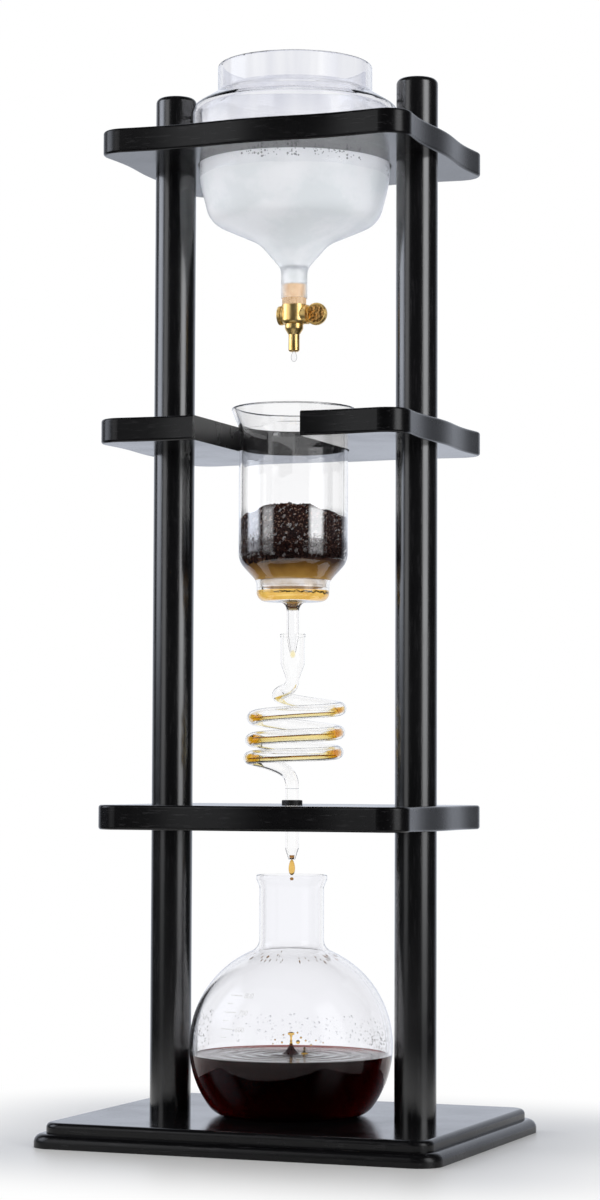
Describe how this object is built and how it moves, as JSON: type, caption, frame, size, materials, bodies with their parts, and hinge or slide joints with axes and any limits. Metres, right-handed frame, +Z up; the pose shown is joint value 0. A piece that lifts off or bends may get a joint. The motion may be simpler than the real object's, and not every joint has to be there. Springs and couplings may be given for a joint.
{
  "type": "cold drip coffee tower",
  "caption": "Black wooden stand with stacked glassware: water vessel with a brass tap, coffee cylinder with filter, coil condenser and round flask.",
  "frame": {"origin": "on the floor, under the glass axis, at the middle of the base board's underside", "axes": "+Z up along the glass axis, +X along the front from the left post to the right post, +Y from the front to the back"},
  "size_m": [0.262, 0.214, 0.6763],
  "materials": {
    "black_lacquer": "satin black lacquer over wood",
    "bare_wood": "bare hardwood",
    "screw_steel": "zinc plated steel",
    "clear_glass": "clear borosilicate glass",
    "cork": "cork",
    "tap_brass": "polished brass",
    "filter_ceramic": "unglazed white ceramic",
    "black_rubber": "black rubber"
  },
  "bodies": {
    "stand": {"base_board": "black_lacquer", "left_lower_post": "black_lacquer", "right_lower_post": "black_lacquer", "left_middle_post": "black_lacquer", "right_middle_post": "black_lacquer", "left_upper_post": "black_lacquer", "right_upper_post": "black_lacquer", "left_post_cap": "black_lacquer", "right_post_cap": "black_lacquer", "lower_shelf": "black_lacquer", "middle_shelf": "black_lacquer", "top_shelf": "black_lacquer", "post_studs": "bare_wood", "base_screws": "screw_steel", "base_washers": "screw_steel"},
    "vessel": {"water_vessel": "clear_glass"},
    "tap": {"tap_stopper": "cork", "tap_body": "tap_brass", "tap_nozzle": "tap_brass"},
    "tap_key": {"tap_plug": "tap_brass", "tap_spring_washer": "tap_brass", "tap_nut": "tap_brass"},
    "cylinder": {"coffee_cylinder": "clear_glass"},
    "filter": {"filter_disc": "filter_ceramic", "filter_seal": "black_rubber"},
    "coil_seat": {"coil_grommet": "black_rubber"},
    "condenser": {"coil_condenser": "clear_glass"},
    "receiver": {"flask": "clear_glass"}
  },
  "joints": [
    {"name": "vessel_lift", "type": "slide", "parent": "stand", "child": "vessel", "axis": [0, 0, 1], "range_m": [0, 0.15]},
    {"name": "tap_pull", "type": "slide", "parent": "vessel", "child": "tap", "axis": [0, 0, -1], "range_m": [0, 0.02]},
    {"name": "tap_turn", "type": "hinge", "parent": "tap", "child": "tap_key", "pos_m": [0, 0, 0.5173], "axis": [1, 0, 0], "continuous": true},
    {"name": "cylinder_lift", "type": "slide", "parent": "stand", "child": "cylinder", "axis": [0, 0, 1], "range_m": [0, 0.03]},
    {"name": "filter_lift", "type": "slide", "parent": "cylinder", "child": "filter", "axis": [0, 0, 1], "range_m": [0, 0.03]},
    {"name": "coil_turn", "type": "hinge", "parent": "stand", "child": "coil_seat", "pos_m": [0, 0, 0.211], "axis": [0, 0, 1], "continuous": true},
    {"name": "coil_lift", "type": "slide", "parent": "coil_seat", "child": "condenser", "axis": [0, 0, 1], "range_m": [0, 0.014]},
    {"name": "flask_slide", "type": "slide", "parent": "stand", "child": "receiver", "axis": [0, 1, 0], "range_m": [-0.055, 0.055]}
  ]
}
